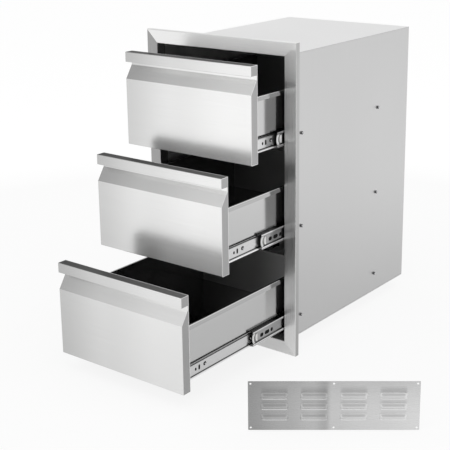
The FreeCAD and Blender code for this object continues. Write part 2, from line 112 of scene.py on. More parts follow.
lamps = {
    "frontSoftbox": {"place": (0.1, -3.5, 3.2), "aim": (0.0, -0.1, 0.3), "size": (4.0, 4.0), "power": 9.0},
    "rearSoftbox": {"place": (2.6, 2.2, 2.6), "aim": (0.1, 0.1, 0.3), "size": (3.8, 3.8), "power": 10.0},
    "topSoftbox": {"place": (0.2, -0.4, 3.4), "aim": (0.1, 0.0, 0.3), "size": (4.0, 4.0), "power": 36.0},
}


def addNode(tree, kind, settings=None, **inputs):
    # a keyword names a socket, its spaces as underscores, or counts it as i0, i1, ...
    node = tree.nodes.new(kind)
    for key, value in (settings or {}).items():
        setattr(node, key, value)
    for key, value in inputs.items():
        counted = key[0] == "i" and key[1:].isdigit()
        socket = node.inputs[int(key[1:])] if counted else node.inputs[key.replace("_", " ")]
        if isinstance(value, bpy.types.NodeSocket):
            tree.links.new(value, socket)
        else:
            socket.default_value = value
    return node


def mathNode(tree, operation, a, b):
    return addNode(tree, "ShaderNodeMath", {"operation": operation}, i0=a, i1=b).outputs[0]


def rampNode(tree, value, start, end, low, high, smooth=False):
    # low at start, high at end, held beyond them
    kind = "SMOOTHSTEP" if smooth else "LINEAR"
    node = addNode(tree, "ShaderNodeMapRange", {"interpolation_type": kind}, Value=value,
                   From_Min=start, From_Max=end, To_Min=low, To_Max=high)
    return node.outputs["Result"]


def makeWorld(setup):
    # a bright band round the horizon, greyer below it and upwards, and plain white for the camera
    world = bpy.data.worlds.new("studio")
    bpy.context.scene.world = world
    world.use_nodes = True
    tree = world.node_tree
    tree.nodes.clear()
    place = addNode(tree, "ShaderNodeTexCoord")
    part = addNode(tree, "ShaderNodeSeparateXYZ", i0=place.outputs["Generated"])
    height = part.outputs["Z"]
    rise = rampNode(tree, height, setup["bandLow"], setup["bandHigh"],
                    setup["horizon"], setup["middle"], True)
    crown = rampNode(tree, height, setup["bandHigh"], 1.0, 1.0, setup["overhead"] / setup["middle"], True)
    skirting = rampNode(tree, height, 0.0, setup["skirtingTop"], setup["skirting"], 1.0, True)
    wall = mathNode(tree, "MULTIPLY", mathNode(tree, "MULTIPLY", rise, crown), skirting)
    path = addNode(tree, "ShaderNodeLightPath")
    strength = addNode(tree, "ShaderNodeMix", {"data_type": "FLOAT"},
                       i0=path.outputs["Is Camera Ray"], i2=wall, i3=1.0)
    sky = addNode(tree, "ShaderNodeBackground", Color=(1, 1, 1, 1), Strength=strength.outputs[0])
    out = addNode(tree, "ShaderNodeOutputWorld")
    tree.links.new(sky.outputs[0], out.inputs["Surface"])


def makeFloor(setup):
    low, _ = cadBox
    half, z = setup["floorHalf"], low[2] - setup["floorDrop"]
    mesh = bpy.data.meshes.new("floor")
    corners = [(-half, -half, z), (half, -half, z), (half, half, z), (-half, half, z)]
    mesh.from_pydata(corners, [], [(0, 1, 2, 3)])
    floor = bpy.data.objects.new("floor", mesh)
    bpy.context.scene.collection.objects.link(floor)
    material = bpy.data.materials.new("palePaper")
    material.use_nodes = True
    tree = material.node_tree
    tree.nodes.clear()
    paper = addNode(tree, "ShaderNodeBsdfDiffuse", Color=setup["floorColour"] + (1,))
    path = addNode(tree, "ShaderNodeLightPath")
    # plain white for the camera; for the metal it rises with the distance, and is duller in one sector:
    # painted shade on the floor, seen only in reflections
    place = addNode(tree, "ShaderNodeTexCoord").outputs["Object"]
    far = addNode(tree, "ShaderNodeVectorMath", {"operation": "LENGTH"}, i0=place).outputs["Value"]
    way = addNode(tree, "ShaderNodeVectorMath", {"operation": "NORMALIZE"}, i0=place).outputs["Vector"]
    toward = addNode(tree, "ShaderNodeVectorMath", {"operation": "DOT_PRODUCT"},
                     i0=way, i1=setup["dullerWay"]).outputs["Value"]
    sector = mathNode(tree, "MULTIPLY", rampNode(tree, toward, *setup["dullerSpread"], 0.0, 1.0, True),
                      rampNode(tree, far, *setup["dullerReach"], 0.0, 1.0, True))
    glow = mathNode(tree, "MULTIPLY", rampNode(tree, sector, 0.0, 1.0, 1.0, setup["duller"]),
                    rampNode(tree, far, *setup["glossReach"], setup["glossNear"], setup["glossFar"], True))
    strength = mathNode(tree, "MAXIMUM", path.outputs["Is Camera Ray"], glow)
    white = addNode(tree, "ShaderNodeEmission", Color=(1, 1, 1, 1), Strength=strength)
    shiny = mathNode(tree, "MAXIMUM", path.outputs["Is Glossy Ray"], path.outputs["Is Transmission Ray"])
    seen = mathNode(tree, "MULTIPLY", path.outputs["Is Camera Ray"], setup["cameraGlow"])
    mirrored = mathNode(tree, "MULTIPLY", shiny, setup["glossGlow"])
    share = mathNode(tree, "MAXIMUM", seen, mirrored)
    mixed = addNode(tree, "ShaderNodeMixShader", i0=share, i1=paper.outputs[0], i2=white.outputs[0])
    out = addNode(tree, "ShaderNodeOutputMaterial")
    tree.links.new(mixed.outputs[0], out.inputs["Surface"])
    mesh.materials.append(material)


def makeLamp(name, setup):
    data = bpy.data.lights.new(name, "AREA")
    data.shape = "RECTANGLE"
    data.size, data.size_y = setup["size"]
    data.energy = setup["power"]
    lamp = bpy.data.objects.new(name, data)
    place, aim = np.array(setup["place"]), np.array(setup["aim"])
    back = (place - aim) / np.linalg.norm(place - aim)
    right = np.cross([0, 0, 1], back)
    right = right / np.linalg.norm(right)
    up = np.cross(back, right)
    lamp.matrix_world = Matrix([(right[i], up[i], back[i], place[i]) for i in range(3)] + [(0, 0, 0, 1)])
    bpy.context.scene.collection.objects.link(lamp)


makeCamera(cameraSetup)
makeWorld(studio)
makeFloor(studio)
for lampName, lampSetup in lamps.items():
    makeLamp(lampName, lampSetup)
bpy.context.scene.view_settings.view_transform = "Standard"
print("camera and studio ready")


# Finishes: brushed and satin steels, plastics

ventTurn = math.radians(36.6)
alongVent = (math.cos(ventTurn), math.sin(ventTurn), 0)
grainVectors = {  # a little off the axes, so that no face lies square to its grain
    "X": (1, 0.02, 0.04),
    "Y": (0.02, 1, 0.04),
    "Z": (0.02, 0.04, 1),
    "vent": (alongVent[0], alongVent[1], 0.04),
}
grainAxes = {"X": (1, 0, 0), "Y": (0, 1, 0), "Z": (0, 0, 1), "vent": (1, 0, 0)}  # the plate turned back

brushing = {
    "along": 9.0,  # noise turns per metre along the scratches
    "across": 1900.0,
    "softAlong": 1.2,
    "softAcross": 160.0,
    "softShare": 0.22,
    "cloud": 3.0,
    "cloudDepth": 0.012,
    "bumpDistance": 0.00004,
    "roughSpread": 0.12,  # how far the lines move the roughness, as a share of it
    "facingEdge": (0.90, 0.97),  # cosines between which a face starts to count as facing a way
    "insideEdge": (-0.0006, -0.0003),  # metres past a box's faces, over which its inside ends
    "leftRight": (-0.18, 0.18),  # X of the unit's left and right, for a leftTone
}

slideLevels = {"first": 0.04775, "pitch": 0.218}  # height of the lowest slide, and the step to the next
rimLevels = {"first": 0.14875, "pitch": 0.218, "half": 0.0051}  # and for the boxes' turned-out rims
rimEdgeLevels = {"first": 0.15305, "pitch": 0.218, "half": 0.0008}
lipLevels = {"first": 0.21075, "pitch": 0.218, "half": 0.0115}  # the same for the fronts' lips

finishes = {
    "frontSteel": {
        "colour": (0.96, 0.96, 0.955), "rough": 0.21, "grain": "X", "stretch": 0.35,
        "lines": 0.03, "depth": 0.045,
        "facing": [
            {"way": (0, 0, 1), "tone": 0.22, "rough": 0.30, "edge": 0.4},  # the lip's upper side, darker as painted shade, with a rougher, duller gloss
            {"way": (0, -0.832, 0.555), "tone": 1.04, "leftTone": 0.84},  # the slope of the groove, darker to the left and brighter to the right: painted shade and light
            {"way": (0, -1, 0), "tone": 0.96, "leftTone": 0.82, "levels": lipLevels},  # the lip's front, darker to the left: painted shade
        ],
        # painted shade: the fronts darker to the left
        "paintedFade": {"way": (1, 0, 0), "start": -0.19, "end": 0.12,
                 "stops": [(0.0, 0.68), (0.5, 0.89), (1.0, 1.0)]},
    },
    "linerSteel": {
        "colour": (0.95, 0.95, 0.95), "rough": 0.5, "grain": "X", "stretch": 0.2,
        "lines": 0.02, "depth": 0.05, "metal": 0.05,
        # painted light and shade: the liner brighter to the right and darker to the left
        "paintedFade": {"way": (1, 0, 0), "start": -0.18, "end": 0.18,
                 "stops": [(0.0, 0.42), (0.1, 0.5), (0.36, 1.0)]},
    },
    "barSteel": {
        "colour": (0.97, 0.97, 0.965), "rough": 0.37, "grain": "X", "stretch": 0.9,
        "lines": 0.03, "depth": 0.06,
        # painted shade: the faces turned to +X darker
        "facing": [{"way": (1, 0, 0), "tone": 0.60}],
    },
    "stileSteel": {
        "colour": (0.92, 0.92, 0.915), "rough": 0.30, "grain": "Z", "stretch": 0.95,
        "lines": 0.035, "depth": 0.06,
        # painted shade: the faces turned to +X darker, and the stile darker to the left
        "facing": [{"way": (1, 0, 0), "tone": 0.58}],
        "paintedFade": {"way": (1, 0, 0), "start": -0.2, "end": 0.17, "stops": [(0.0, 0.45), (1.0, 1.0)]},
    },
    "capSteel": {
        "colour": (0.44, 0.44, 0.44), "rough": 0.34, "grain": "Z", "stretch": 0.4,
        "lines": 0.025, "depth": 0.08,
    },
    "housingSteel": {
        "colour": (0.64, 0.64, 0.64), "rough": 0.36, "grain": "Z", "stretch": 0.3,
        "lines": 0.018, "depth": 0.03,
        # painted light: the top brighter, and the inside of the housing brighter
        "facing": [{"way": (0, 0, 1), "tone": 1.38}],
        "inside": {"centre": (0, 0.26, 0.333), "half": (0.184, 0.272, 0.333), "tone": 1.3},
    },
    "boxSteel": {
        "colour": (0.60, 0.60, 0.60), "rough": 0.15, "grain": "Y", "stretch": 0.7,
        "lines": 0.005, "depth": 0.02,
        # painted tones: a darker band on the rims, painted shade, and a bright line along their top, a
        # painted highlight; the box's inside darker, painted shade
        "facing": [{"way": (side, 0, 0), "tone": tone, "levels": levels}
                   for side in sides for tone, levels in ((0.80, rimLevels), (1.9, rimEdgeLevels))],
        "inside": {"centre": (0, 0, 0), "half": (0.1703, 2, 2), "tone": 0.46},
    },
    "backWallSteel": {
        "colour": (0.92, 0.92, 0.92), "metal": 0.5, "rough": 0.34, "grain": "X", "stretch": 0.5,
        "lines": 0.02, "depth": 0.03,
        # painted shade: the back wall darker to the left
        "paintedFade": {"way": (1, 0, 0), "start": -0.17, "end": 0.17,
                 "stops": [(0.0, 0.16), (0.45, 0.28), (1.0, 1.0)]},
    },
    "ventSteel": {
        "colour": (0.97, 0.97, 0.97), "rough": 0.28, "grain": "vent", "stretch": 0.6,
        "lines": 0.03, "depth": 0.12,
        "facing": [{"way": (0.421, -0.568, 0.707), "tone": 0.80}],  # the upper parts of the hoods, darker: painted shade
        # painted shade and light: the plate's tone rises and falls along it, darker at its start
        "paintedFade": {"way": alongVent, "start": 0.056, "end": 0.396,
                 "stops": [(0.0, 0.42), (0.22, 0.56), (0.38, 0.66), (0.45, 0.56), (0.49, 0.75),
                           (0.7, 0.82), (1.0, 0.88)]},
    },
    "louvreEdgeSteel": {
        "colour": (0.98, 0.98, 0.98), "rough": 0.3, "grain": "vent", "stretch": 0.3,
        "lines": 0.02, "depth": 0.05,
    },
    "outerRailSteel": {
        "colour": (0.58, 0.58, 0.585), "rough": 0.24, "grain": "Y", "stretch": 0.3,
        "lines": 0.02, "depth": 0.06,
    },
    "middleRailSteel": {  # painted highlights along the rolled races and painted shade lines beside them, across the rail's height
        "colour": (0.92, 0.92, 0.925), "rough": 0.22, "grain": "Y", "stretch": 0.3,
        "lines": 0.02, "depth": 0.06,
        "paintedFade": {"way": (0, 0, 1), "start": -0.018, "end": 0.018, "repeat": slideLevels,
                 "stops": [(0.0, 0.95), (0.055, 0.95), (0.066, 0.2), (0.085, 0.2), (0.095, 1.0), (0.15, 1.0),
                           (0.165, 0.15), (0.21, 0.15), (0.225, 0.45), (0.765, 0.45), (0.78, 0.3),
                           (0.84, 0.3), (0.85, 0.55), (0.91, 0.55), (0.92, 1.0), (0.96, 1.0), (0.968, 0.04),
                           (1.0, 0.04)]},
    },
    "innerRailSteel": {
        "colour": (0.92, 0.92, 0.925), "rough": 0.22, "grain": "Y", "stretch": 0.3,
        "lines": 0.02, "depth": 0.06,
        # painted highlights and painted shade lines across the rail's height, as on the middle rail
        "paintedFade": {"way": (0, 0, 1), "start": -0.018, "end": 0.018, "repeat": slideLevels,
                 "stops": [(0.0, 0.9), (0.135, 0.9), (0.15, 0.1), (0.19, 0.1), (0.205, 0.78), (0.835, 0.78),
                           (0.845, 1.0), (0.88, 1.0), (0.89, 0.02), (1.0, 0.02)]},
    },
    "cageSteel": {
        "colour": (0.42, 0.42, 0.42), "rough": 0.32, "grain": "Y", "stretch": 0.2,
        "lines": 0.02, "depth": 0.06,
    },
    "fastenerSteel": {
        "colour": (0.70, 0.70, 0.71), "rough": 0.24, "grain": "Z", "stretch": 0.0,
        "lines": 0.02, "depth": 0.06,
    },
    # the nuts near black: painted shade
    "shadedNutSteel": {
        "colour": (0.16, 0.16, 0.165), "rough": 0.3, "grain": "Z", "stretch": 0.0,
        "lines": 0.02, "depth": 0.06,
    },
    # near black: painted shade for the rails' holes and windows
    "holeShadeBlack": {
        "colour": (0.02, 0.02, 0.02), "rough": 0.6, "grain": "Z", "stretch": 0.0,
        "lines": 0.02, "depth": 0.06,
    },
}


def newMaterial(name):
    material = bpy.data.materials.new(name)
    material.use_nodes = True
    return material, material.node_tree, material.node_tree.nodes["Principled BSDF"]


def nearestLevel(tree, height, levels):
    # the height above the nearest of evenly stepped levels
    half = levels["pitch"] / 2
    past = mathNode(tree, "SUBTRACT", height, levels["first"])
    return addNode(tree, "ShaderNodeMath", {"operation": "WRAP"}, i0=past, i1=half, i2=-half).outputs[0]


def paintedFadeNode(tree, place, paintedFade):
    # a painted tone of light and shade that changes along one way of the piece, on both sides alike if
    # mirrored, anew at each level if repeated
    if "mirrored" in paintedFade:
        place = addNode(tree, "ShaderNodeVectorMath", {"operation": "ABSOLUTE"}, i0=place).outputs[0]
    along = addNode(tree, "ShaderNodeVectorMath", {"operation": "DOT_PRODUCT"},
                    i0=place, i1=paintedFade["way"]).outputs["Value"]
    if "repeat" in paintedFade:
        along = nearestLevel(tree, along, paintedFade["repeat"])
    share = rampNode(tree, along, paintedFade["start"], paintedFade["end"], 0.0, 1.0)
    ramp = addNode(tree, "ShaderNodeValToRGB", i0=share)
    ramp.color_ramp.interpolation = "LINEAR" if "repeat" in paintedFade else "EASE"
    stops = ramp.color_ramp.elements
    while len(stops) < len(paintedFade["stops"]):
        stops.new(0.5)
    for stop, (position, tone) in zip(stops, paintedFade["stops"]):
        stop.position = position
        stop.color = (tone, tone, tone, 1)
    return ramp.outputs["Color"]


def facingShare(tree, face, way):
    # 1 on the faces that look this way, 0 on the others
    toward = addNode(tree, "ShaderNodeVectorMath", {"operation": "DOT_PRODUCT"}, i0=face, i1=way)
    return rampNode(tree, toward.outputs["Value"], *brushing["facingEdge"], 0.0, 1.0, True)


def insideShare(tree, place, inside):
    # 1 within a box, 0 on its outer faces, by the largest of the three distances past its faces
    offset = addNode(tree, "ShaderNodeVectorMath", {"operation": "SUBTRACT"}, i0=place, i1=inside["centre"])
    size = addNode(tree, "ShaderNodeVectorMath", {"operation": "ABSOLUTE"}, i0=offset.outputs[0])
    past = addNode(tree, "ShaderNodeVectorMath", {"operation": "SUBTRACT"},
                   i0=size.outputs[0], i1=inside["half"])
    parts = addNode(tree, "ShaderNodeSeparateXYZ", i0=past.outputs[0]).outputs
    worst = mathNode(tree, "MAXIMUM", mathNode(tree, "MAXIMUM", parts["X"], parts["Y"]), parts["Z"])
    return rampNode(tree, worst, *brushing["insideEdge"], 1.0, 0.0)


def steel(name, setup):
    # noise drawn out along the grain gives the brush lines, and the gloss spreads across them; a facing tones
    # the faces that look its way, from leftTone to tone across the unit, near its levels if it has any:
    # painted light and shade, as are the inside and paintedFade tones
    material, tree, shader = newMaterial(name)
    place = addNode(tree, "ShaderNodeTexCoord").outputs["Object"]
    grain = grainVectors[setup["grain"]]
    if setup["grain"] == "vent":
        place = addNode(tree, "ShaderNodeMapping", {"vector_type": "POINT"}, Vector=place,
                        Rotation=(0, 0, -ventTurn)).outputs[0]
    lengthwise = grainAxes[setup["grain"]]
    fineScale = [brushing["along"] if g else brushing["across"] for g in lengthwise]
    softScale = [brushing["softAlong"] if g else brushing["softAcross"] for g in lengthwise]
    fine = addNode(tree, "ShaderNodeMapping", Vector=place, Scale=fineScale)
    soft = addNode(tree, "ShaderNodeMapping", Vector=place, Scale=softScale)
    fineNoise = addNode(tree, "ShaderNodeTexNoise", Vector=fine.outputs[0], Scale=1.0, Detail=2.0)
    softNoise = addNode(tree, "ShaderNodeTexNoise", Vector=soft.outputs[0], Scale=1.0, Detail=2.0)
    cloud = addNode(tree, "ShaderNodeTexNoise", Vector=place, Scale=brushing["cloud"], Detail=1.0)
    lines = addNode(tree, "ShaderNodeMix", {"data_type": "FLOAT"}, i0=brushing["softShare"],
                    i2=fineNoise.outputs[0], i3=softNoise.outputs[0]).outputs[0]
    face = addNode(tree, "ShaderNodeNewGeometry").outputs["Normal"]
    depth, spread = brushing["cloudDepth"], brushing["roughSpread"]
    tone = mathNode(tree, "MULTIPLY",
                    rampNode(tree, lines, 0.3, 0.7, 1 - setup["lines"], 1 + setup["lines"]),
                    rampNode(tree, cloud.outputs[0], 0.3, 0.7, 1 - depth, 1 + depth))
    rough = rampNode(tree, lines, 0.3, 0.7, setup["rough"] * (1 - spread), setup["rough"] * (1 + spread))
    shader.inputs["Metallic"].default_value = setup.get("metal", 1.0)
    parts = addNode(tree, "ShaderNodeSeparateXYZ", i0=place).outputs
    for facing in setup.get("facing", []):
        share = facingShare(tree, face, facing["way"])
        if "levels" in facing:
            off = mathNode(tree, "ABSOLUTE", nearestLevel(tree, parts["Z"], facing["levels"]), 0.0)
            near = mathNode(tree, "LESS_THAN", off, facing["levels"]["half"])
            share = mathNode(tree, "MULTIPLY", share, near)
        turnedTone = facing["tone"]
        if "leftTone" in facing:
            turnedTone = rampNode(tree, parts["X"], *brushing["leftRight"],
                                  facing["leftTone"], facing["tone"])
        tone = mathNode(tree, "MULTIPLY", tone, rampNode(tree, share, 0.0, 1.0, 1.0, turnedTone))
        if "rough" in facing:
            rough = addNode(tree, "ShaderNodeMix", {"data_type": "FLOAT"},
                            i0=share, i2=rough, i3=facing["rough"]).outputs[0]
        if "edge" in facing:
            edge = rampNode(tree, share, 0.0, 1.0, 1.0, facing["edge"])
            tree.links.new(edge, shader.inputs["Specular Tint"])
    if "inside" in setup:
        share = insideShare(tree, place, setup["inside"])
        tone = mathNode(tree, "MULTIPLY", tone, rampNode(tree, share, 0.0, 1.0, 1.0, setup["inside"]["tone"]))
    if "paintedFade" in setup:
        whole = addNode(tree, "ShaderNodeTexCoord").outputs["Object"]
        tone = mathNode(tree, "MULTIPLY", tone, paintedFadeNode(tree, whole, setup["paintedFade"]))
    tint = addNode(tree, "ShaderNodeVectorMath", {"operation": "SCALE"}, i0=setup["colour"])
    tree.links.new(tone, tint.inputs["Scale"])
    tree.links.new(tint.outputs[0], shader.inputs["Base Color"])
    tree.links.new(rough, shader.inputs["Roughness"])
    bump = addNode(tree, "ShaderNodeBump", Strength=setup["depth"], Distance=brushing["bumpDistance"],
                   Height=lines)
    tree.links.new(bump.outputs[0], shader.inputs["Normal"])
    shader.inputs["Anisotropic"].default_value = setup["stretch"]
    across = addNode(tree, "ShaderNodeVectorMath", {"operation": "CROSS_PRODUCT"}, i0=face, i1=grain)
    tree.links.new(across.outputs[0], shader.inputs["Tangent"])
    return material


plastics = {
    "whitePlastic": {"colour": (0.92, 0.92, 0.91), "rough": 0.30, "skin": 900.0},
    "nosePlastic": {
        "colour": (0.92, 0.92, 0.91), "rough": 0.38, "skin": 900.0,  # painted shade, darker in its recess
        "paintedFade": {"way": (1, 0, 0), "start": 0.1775, "end": 0.1797, "mirrored": True,
                 "stops": [(0.0, 0.22), (0.5, 0.35), (1.0, 1.0)]},
    },
    "blackPlastic": {"colour": (0.045, 0.045, 0.045), "rough": 0.45, "skin": 700.0},
}


def plastic(name, setup):
    # moulded plastic with a faint spark-eroded skin
    material, tree, shader = newMaterial(name)
    place = addNode(tree, "ShaderNodeTexCoord").outputs["Object"]
    skin = addNode(tree, "ShaderNodeTexNoise", Vector=place, Scale=setup["skin"], Detail=2.0).outputs[0]
    tint = addNode(tree, "ShaderNodeVectorMath", {"operation": "SCALE"}, i0=setup["colour"])
    tone = rampNode(tree, skin, 0.3, 0.7, 0.95, 1.03)
    if "paintedFade" in setup:
        tone = mathNode(tree, "MULTIPLY", tone, paintedFadeNode(tree, place, setup["paintedFade"]))
    tree.links.new(tone, tint.inputs["Scale"])
    tree.links.new(tint.outputs[0], shader.inputs["Base Color"])
    rough = rampNode(tree, skin, 0.3, 0.7, setup["rough"] * 0.9, setup["rough"] * 1.1)
    tree.links.new(rough, shader.inputs["Roughness"])
    bump = addNode(tree, "ShaderNodeBump", Strength=0.15, Distance=0.0001, Height=skin)
    tree.links.new(bump.outputs[0], shader.inputs["Normal"])
    return material


materials = {name: steel(name, setup) for name, setup in finishes.items()}
materials.update({name: plastic(name, setup) for name, setup in plastics.items()})
print("finishes made:", len(materials))

nodeFinishes = {  # the ending of a node's name, and its finish
    "top_rail": "barSteel",
    "bottom_rail": "barSteel",
    "stile": "stileSteel",
    "front_skin": "frontSteel",
    "front_end_caps": "capSteel",
    "front_liner": "linerSteel",
    "box_tray": "boxSteel",
    "box_front_wall": "boxSteel",
    "box_back_wall": "backWallSteel",
    "outer_rail": "outerRailSteel",
    "middle_rail": "middleRailSteel",
    "inner_rail": "innerRailSteel",
    "ball_cages": "cageSteel",
    "end_pieces": "whitePlastic",
    "rear_stops": "blackPlastic",
    "screws": "fastenerSteel",
    "nuts": "shadedNutSteel",
    "vent_panel": "ventSteel",
}


def nodeFinish(node):
    endings = [ending for ending in nodeFinishes if node.endswith(ending)]
    return nodeFinishes[endings[0]] if endings else "housingSteel"


for nodeName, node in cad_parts.items():
    node.data.materials.clear()
    node.data.materials.append(materials[nodeFinish(nodeName)])
print("nodes dressed")


# Meshes from grids of points

def joinGrids(grids):
    # a grid is rows x columns x 3, or copies x rows x columns x 3; each cell becomes a face
    points, faces, first = [], [], 0
    for grid in grids:
        grid = np.asarray(grid, float)
        grid = grid.reshape((-1,) + grid.shape[-3:])
        copies, rows, columns, _ = grid.shape
        corner = (np.arange(rows - 1)[:, None] * columns + np.arange(columns - 1)).ravel()
        cell = np.stack([corner, corner + 1, corner + columns + 1, corner + columns], 1)
        faces.append((first + rows * columns * np.arange(copies)[:, None, None] + cell).reshape(-1, 4))
        points.append(grid.reshape(-1, 3))
        first += copies * rows * columns
    return np.concatenate(points), np.concatenate(faces)


def cleanMesh(mesh, outward=True, crease=35.0):
    # welds the seams and poles, turns closed shells outwards and smooths all but the sharp folds
    work = bmesh.new()
    work.from_mesh(mesh)
    bmesh.ops.remove_doubles(work, verts=work.verts, dist=1e-6)
    if outward:
        bmesh.ops.recalc_face_normals(work, faces=work.faces)
    work.to_mesh(mesh)
    work.free()
    mesh.polygons.foreach_set("use_smooth", np.ones(len(mesh.polygons), bool))
    mesh.set_sharp_from_angle(angle=math.radians(crease))


def makePiece(name, points, faces, finish, body, replaced=(), outward=True):
    mesh = bpy.data.meshes.new(name)
    mesh.from_pydata(points.tolist(), [], faces.tolist())
    cleanMesh(mesh, outward)
    mesh.materials.append(materials[finish])
    piece = bpy.data.objects.new(name, mesh)
    bpy.context.scene.collection.objects.link(piece)
    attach(piece, body)
    if replaced:
        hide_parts(*replaced)
    return piece


def settle(piece, crease=35.0):
    # works the piece's modifiers into its mesh
    bpy.context.view_layer.update()
    done = bpy.data.meshes.new_from_object(piece.evaluated_get(bpy.context.evaluated_depsgraph_get()))
    piece.modifiers.clear()
    piece.data = done
    cleanMesh(done, False, crease)


def turned(profile, steps):
    # a profile of (along, radius) pairs spun about its axis: rows are stations, columns go round
    along, radius = np.array(profile, float).T
    angle = np.linspace(0, 2 * math.pi, steps + 1)
    return np.stack([np.repeat(along[:, None], steps + 1, 1),
                     radius[:, None] * np.cos(angle), radius[:, None] * np.sin(angle)], -1)


def setAlongX(form, places):
    # copies of a form, its axis along X outwards from each (side, x, y, z)
    side, x, y, z = np.array(places, float).T[:, :, None, None]
    return np.stack([side * (x + form[..., 0]), y + form[..., 1], z + form[..., 2]], -1)


# Vent plate: pressed louvres on a thin plate, standing on its own

ventPlate = {
    "corner": (0.329, -0.349, -0.029),
    "width": 0.340,
    "height": 0.106,
    "gauge": 0.001,
    "round": 0.0015,
    "hole": 0.0022,
    "holeInset": 0.0052,
    "holePatch": 0.0032,
    "columns": 4,
    "rows": 3,
    "pitch": (0.0784, 0.0227),
    "louvre": (0.054, 0.0117),
    "reach": 0.0045,
    "endLength": 0.0065,
    "edgeRadius": 0.00055,
    "hoodCurve": 1.25,  # how late the hood's rise steepens
    "edgeTaper": 12,  # how late the rolled edge narrows to its ends
}


def louvreMiddles(count, pitch, middle):
    # evenly stepped middles, spread to both sides of the plate's own middle
    return middle + (np.arange(count) - (count - 1) / 2) * pitch


def ventLines(setup):
    # grid lines along the plate, close together at the louvres' ends, and up it, each lower line twice
    width, height, inset, patch = setup["width"], setup["height"], setup["holeInset"], setup["holePatch"]
    half, end = setup["louvre"][0] / 2, setup["endLength"]
    spread = end * np.sin(np.linspace(0, math.pi / 2, 7))
    reachOut = np.concatenate([half - end + spread, -(half - end + spread),
                               np.linspace(end - half, half - end, 7)])
    aroundHole = np.linspace(-patch, patch, 5)
    corner = np.linspace(0, setup["round"], 4)
    middles = louvreMiddles(setup["columns"], setup["pitch"][0], width / 2)
    holeLines = [h + aroundHole for h in (inset, width / 2, width - inset)]
    x = np.concatenate([(middles[:, None] + reachOut).ravel()] + holeLines + [corner, width - corner])
    tall = setup["louvre"][1]
    levels = louvreMiddles(setup["rows"], setup["pitch"][1], height / 2)
    z = np.concatenate([(levels[:, None] + np.linspace(-tall / 2, tall / 2, 10)).ravel(), inset + aroundHole,
                        height - inset + aroundHole, corner, height - corner])
    x, z = np.unique(x.round(7)), np.unique(z.round(7))
    lowLines = (levels - tall / 2).round(7)
    doubled = np.isin(z, lowLines)
    hooded = np.repeat(z, 1 + doubled)
    second = np.concatenate([[False] * n for n in (1 + doubled)]).astype(bool)
    order = np.cumsum(1 + doubled) - 1
    second[order[doubled]] = True
    return x, hooded, second


def hoodReach(x, z, second, setup):
    # a hood's reach is a rising quarter sine down its height, rounded off at both ends as a quarter ellipse
    half, tall, end = setup["louvre"][0] / 2, setup["louvre"][1], setup["endLength"]
    columns = louvreMiddles(setup["columns"], setup["pitch"][0], setup["width"] / 2)
    levels = louvreMiddles(setup["rows"], setup["pitch"][1], setup["height"] / 2)
    offX = np.abs(x[:, None] - columns).min(1)
    pastEnd = np.clip((offX - (half - end)) / end, 0, 1)
    ends = np.where(offX < half + 1e-7, np.sqrt(1 - pastEnd ** 2), 0)
    offZ = z[:, None] - levels
    nearest = np.take_along_axis(offZ, np.abs(offZ).argmin(1)[:, None], 1)[:, 0]
    down = np.clip((tall / 2 - nearest) / tall, 0, 1)
    inside = (np.abs(nearest) < tall / 2 - 1e-7) | second
    rise = np.where(inside, np.sin(down * math.pi / 2) ** setup["hoodCurve"], 0)
    return setup["reach"] * rise[:, None] * ends[None, :]


def holePatches(setup):
    # the square about each screw hole, from its outline in to the hole's edge
    w, h, inset, patch = setup["width"], setup["height"], setup["holeInset"], setup["holePatch"]
    steps = np.linspace(-patch, patch, 5)
    edge = np.full(5, patch)
    ring = np.concatenate([np.stack(pair, 1)[:-1] for pair in
                           [(edge, steps), (-steps, edge), (-edge, -steps), (steps, -edge)]])
    ring = np.concatenate([ring, ring[:1]])
    circle = ring / np.linalg.norm(ring, axis=1)[:, None] * setup["hole"]
    grids = []
    for x in (inset, w / 2, w - inset):
        for z in (inset, h - inset):
            flat = np.stack([ring, (ring + circle) / 2, circle]) + (x, z)
            grids.append(np.stack([flat[..., 0], 0 * flat[..., 0], flat[..., 1]], -1))
    return grids


def ventPlace(points, setup):
    # from the plate's own lines, along it and up it, to its place beside the unit
    cos, sin = math.cos(ventTurn), math.sin(ventTurn)
    x, y = points[..., 0], points[..., 1]
    return np.stack([x * cos - y * sin, x * sin + y * cos, points[..., 2]], -1) + np.array(setup["corner"])


def louvreEdges(setup, steps=32):
    # a rolled edge under each hood: a small circle carried along the hood's reach, closed at both ends
    half, tall, end = setup["louvre"][0] / 2, setup["louvre"][1], setup["endLength"]
    share = np.linspace(-1, 1, steps + 1)[:, None]
    angle = np.linspace(0, 2 * math.pi, 9)[None, :]
    off = np.clip((np.abs(share) * half - (half - end)) / end, 0, 1)
    radius = setup["edgeRadius"] * np.sqrt(np.clip(1 - np.abs(share) ** setup["edgeTaper"], 0, 1))
    x = share * half + 0 * angle
    y = -setup["reach"] * np.sqrt(1 - off ** 2) + radius * np.cos(angle)
    z = radius * np.sin(angle) - tall / 2
    columns = louvreMiddles(setup["columns"], setup["pitch"][0], setup["width"] / 2)
    levels = louvreMiddles(setup["rows"], setup["pitch"][1], setup["height"] / 2)
    form = np.stack([x, y, z], -1)
    return np.stack([form + (column, 0, level) for column in columns for level in levels])


